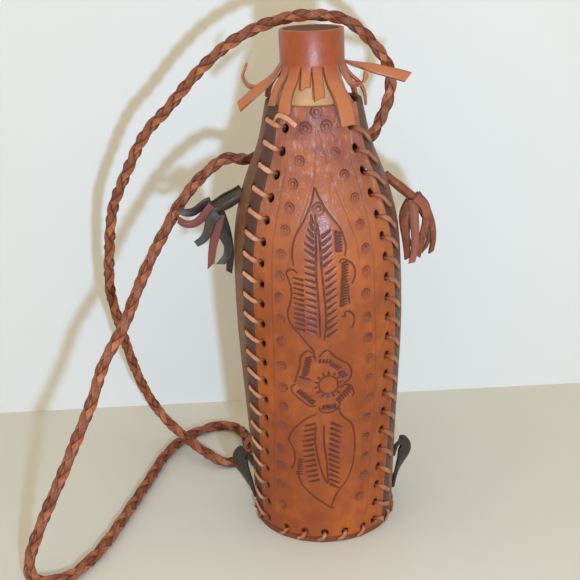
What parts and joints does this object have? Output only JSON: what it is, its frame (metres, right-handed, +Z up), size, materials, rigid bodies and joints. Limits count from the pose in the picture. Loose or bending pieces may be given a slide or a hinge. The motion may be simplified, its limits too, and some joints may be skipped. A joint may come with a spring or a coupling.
{
  "type": "bottle carrier",
  "caption": "Laced leather carrier for a one-litre bottle: tooled front, gussets, fringed pull-off cap, side tassels, foot loops and a round braided shoulder strap.",
  "frame": {"origin": "centre of the foot, on the plane it stands on", "axes": "+Z up along the bottle's axis, -Y out of the tooled front, -X to the viewer's left"},
  "size_m": [0.2647, 0.1972, 0.3217],
  "materials": {
    "tooled_front": "satin",
    "back_leather": "satin",
    "gusset_leather": "satin",
    "base_leather": "matte",
    "lace": "satin",
    "cream_leather": "matte",
    "cap_leather": "satin",
    "cap_disc": "matte",
    "grey_leather": "satin",
    "orange_leather": "satin",
    "braid": "satin"
  },
  "bodies": {
    "carrier": {"front_panel": "tooled_front", "back_panel": "back_leather", "left_gusset": "gusset_leather", "right_gusset": "gusset_leather", "base_panel": "base_leather", "front_left_lace": "lace", "front_right_lace": "lace", "back_left_lace": "lace", "back_right_lace": "lace", "base_lace": "lace", "neck_sleeve": "cream_leather", "left_tassel": "grey_leather", "right_tassel": "orange_leather", "left_keeper": "grey_leather", "right_keeper": "grey_leather", "strap": "braid", "left_strap_knot": "braid", "right_strap_knot": "braid"},
    "cap": {"cap_skirt": "cap_leather", "cap_top": "cap_disc"}
  },
  "joints": [
    {"name": "cap_lift", "type": "slide", "parent": "carrier", "child": "cap", "axis": [0, 0, 1], "range_m": [0, 0.07]}
  ]
}
